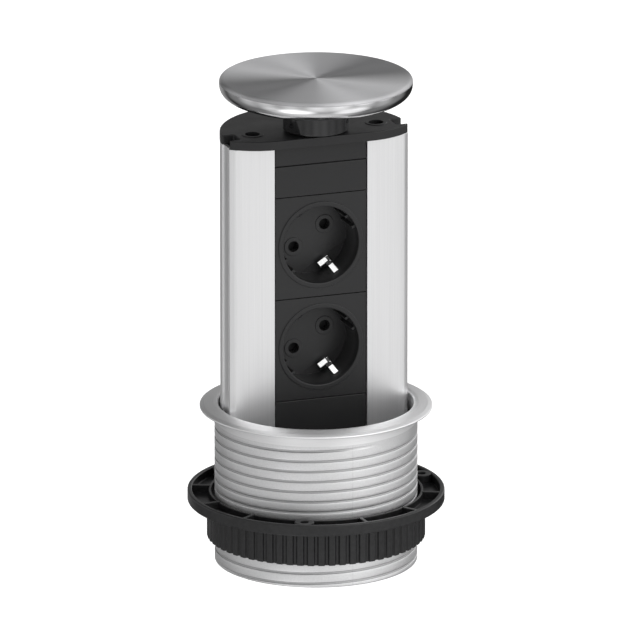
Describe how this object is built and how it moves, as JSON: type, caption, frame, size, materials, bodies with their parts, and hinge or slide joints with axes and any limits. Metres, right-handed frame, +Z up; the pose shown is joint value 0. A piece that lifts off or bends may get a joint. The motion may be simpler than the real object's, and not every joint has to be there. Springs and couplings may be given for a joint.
{
  "type": "pop up desk socket",
  "caption": "Power tower that slides up out of a round hole in a worktop, with earthed sockets on its front, a mushroom cap to pull it by, and a threaded barrel with a clamp nut.",
  "frame": {"origin": "barrel axis, level with the top of the worktop, which is the underside of the flange", "axes": "+Z up along the barrel axis and the way the tower rises; the sockets face -Y; +X to the right seen from the front"},
  "size_m": [0.1266, 0.1266, 0.2514],
  "materials": {
    "satin_aluminium": "satin turned",
    "cast_aluminium": "fine blasted",
    "anodised_profile": "satin anodised",
    "brushed_cap": "circular brushed",
    "polished_cap": "polished",
    "gloss_black": "gloss",
    "moulded_black": "fine moulded texture",
    "dark_nylon": "moulded",
    "pale_insulator": "moulded",
    "shutter_grey": "moulded",
    "contact_brass": "bright rolled",
    "earth_steel": "bright sprung",
    "screw_steel": "zinc plated",
    "blackened_steel": "blackened",
    "foam": "closed-cell foam"
  },
  "bodies": {
    "barrel": {"flange_ring": "satin_aluminium", "flange_gasket": "foam", "threaded_barrel": "cast_aluminium", "guide_rails": "dark_nylon", "friction_pads": "foam"},
    "clamp_ring": {"clamp_ring": "dark_nylon"},
    "clamp_nut": {"clamp_nut": "dark_nylon"},
    "tower": {"tower_profile": "anodised_profile", "top_plate": "moulded_black", "top_plate_screws": "blackened_steel", "bottom_plate": "moulded_black", "bottom_plate_screws": "screw_steel", "cap_disc": "brushed_cap", "cap_bowl": "polished_cap", "cap_neck": "gloss_black", "cap_bolt": "screw_steel", "cap_nut": "screw_steel", "cover_strip": "moulded_black", "upper_blank": "moulded_black", "lower_blank": "moulded_black", "upper_socket": "moulded_black", "lower_socket": "moulded_black", "upper_contact_block": "pale_insulator", "lower_contact_block": "pale_insulator", "contact_sleeves": "contact_brass", "upper_earth_strap": "earth_steel", "lower_earth_strap": "earth_steel", "shutter_springs": "screw_steel", "live_bar": "contact_brass", "neutral_bar": "contact_brass", "earth_bar": "contact_brass", "terminal_block": "pale_insulator", "terminal_screws": "contact_brass", "cable_gland": "dark_nylon", "gland_nut": "dark_nylon"},
    "upper_shutter": {"upper_shutter": "shutter_grey"},
    "lower_shutter": {"lower_shutter": "shutter_grey"}
  },
  "joints": [
    {"name": "tower_slide", "type": "slide", "parent": "barrel", "child": "tower", "axis": [0, 0, 1], "range_m": [-0.161, 0]},
    {"name": "clamp_ring_slide", "type": "slide", "parent": "barrel", "child": "clamp_ring", "axis": [0, 0, 1], "range_m": [-0.0095, 0.0315]},
    {"name": "clamp_nut_turn", "type": "hinge", "parent": "clamp_ring", "child": "clamp_nut", "pos_m": [0, 0, -0.056], "axis": [0, 0, 1], "range_deg": [-630, 2160]},
    {"name": "upper_shutter_turn", "type": "hinge", "parent": "tower", "child": "upper_shutter", "pos_m": [0, 0.016, 0.0843], "axis": [0, 1, 0], "range_deg": [0, 40], "stiffness_Nm_per_rad": 0.002, "springref_deg": -17.19},
    {"name": "lower_shutter_turn", "type": "hinge", "parent": "tower", "child": "lower_shutter", "pos_m": [0, 0.016, 0.0324], "axis": [0, 1, 0], "range_deg": [0, 40], "stiffness_Nm_per_rad": 0.002, "springref_deg": -17.19}
  ],
  "couplings": [
    {"joint": "clamp_ring_slide", "follows": "clamp_nut_turn", "m_per_rad": 0.00082761}
  ]
}
